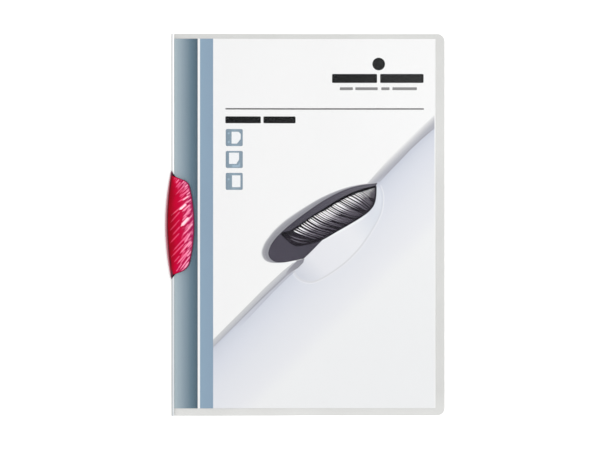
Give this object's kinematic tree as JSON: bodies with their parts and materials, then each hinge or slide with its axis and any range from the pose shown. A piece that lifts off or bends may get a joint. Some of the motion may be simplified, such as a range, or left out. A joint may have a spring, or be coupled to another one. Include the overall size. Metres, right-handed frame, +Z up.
{
  "type": "clip folder",
  "caption": "A4 report folder of clear and milky plastic film, with a ribbed red clip on its spine that swings out to free the sheets, and a printed cover sheet inside.",
  "frame": {"origin": "middle of the footprint of the closed folder lying face up, on the table", "axes": "+X across the page from the spine to the open edge, +Y up the page along the spine, +Z up from the table through the front cover"},
  "size_m": [0.2246, 0.307, 0.0079],
  "materials": {
    "milky_film": "milky translucent polypropylene film, fine matt emboss",
    "clear_film": "clear polypropylene film, soft gloss",
    "printed_paper": "smooth coated paper",
    "red_plastic": "translucent red plastic, moulded with uneven slanting ribs",
    "dark_red_plastic": "translucent red plastic, smooth",
    "grip_rubber": "matt",
    "zinc_steel": "zinc plated"
  },
  "bodies": {
    "folder": {"back_cover": "milky_film", "spine_fold": "clear_film", "spine_weld": "clear_film", "front_flap": "clear_film", "cover_crease": "clear_film", "pivot_eyelet": "zinc_steel"},
    "cover": {"front_cover": "clear_film"},
    "clip": {"rear_jaw": "dark_red_plastic", "jaw_web": "dark_red_plastic", "jaw_rim": "dark_red_plastic", "front_jaw": "red_plastic", "clamp_rib": "grip_rubber", "pivot_rivet": "zinc_steel", "rivet_washer": "zinc_steel"},
    "insert": {"insert_sheet": "printed_paper"}
  },
  "joints": [
    {"name": "clip_swing", "type": "hinge", "parent": "folder", "child": "clip", "pos_m": [-0.1035, 0.036, 0.002], "axis": [0, 0, -1], "range_deg": [0, 90]},
    {"name": "cover_fold", "type": "hinge", "parent": "folder", "child": "cover", "pos_m": [-0.0854, 0, 0.003], "axis": [0, -1, 0], "range_deg": [0, 150]},
    {"name": "insert_slide", "type": "slide", "parent": "folder", "child": "insert", "axis": [0, 1, 0], "range_m": [0, 0.3]}
  ]
}
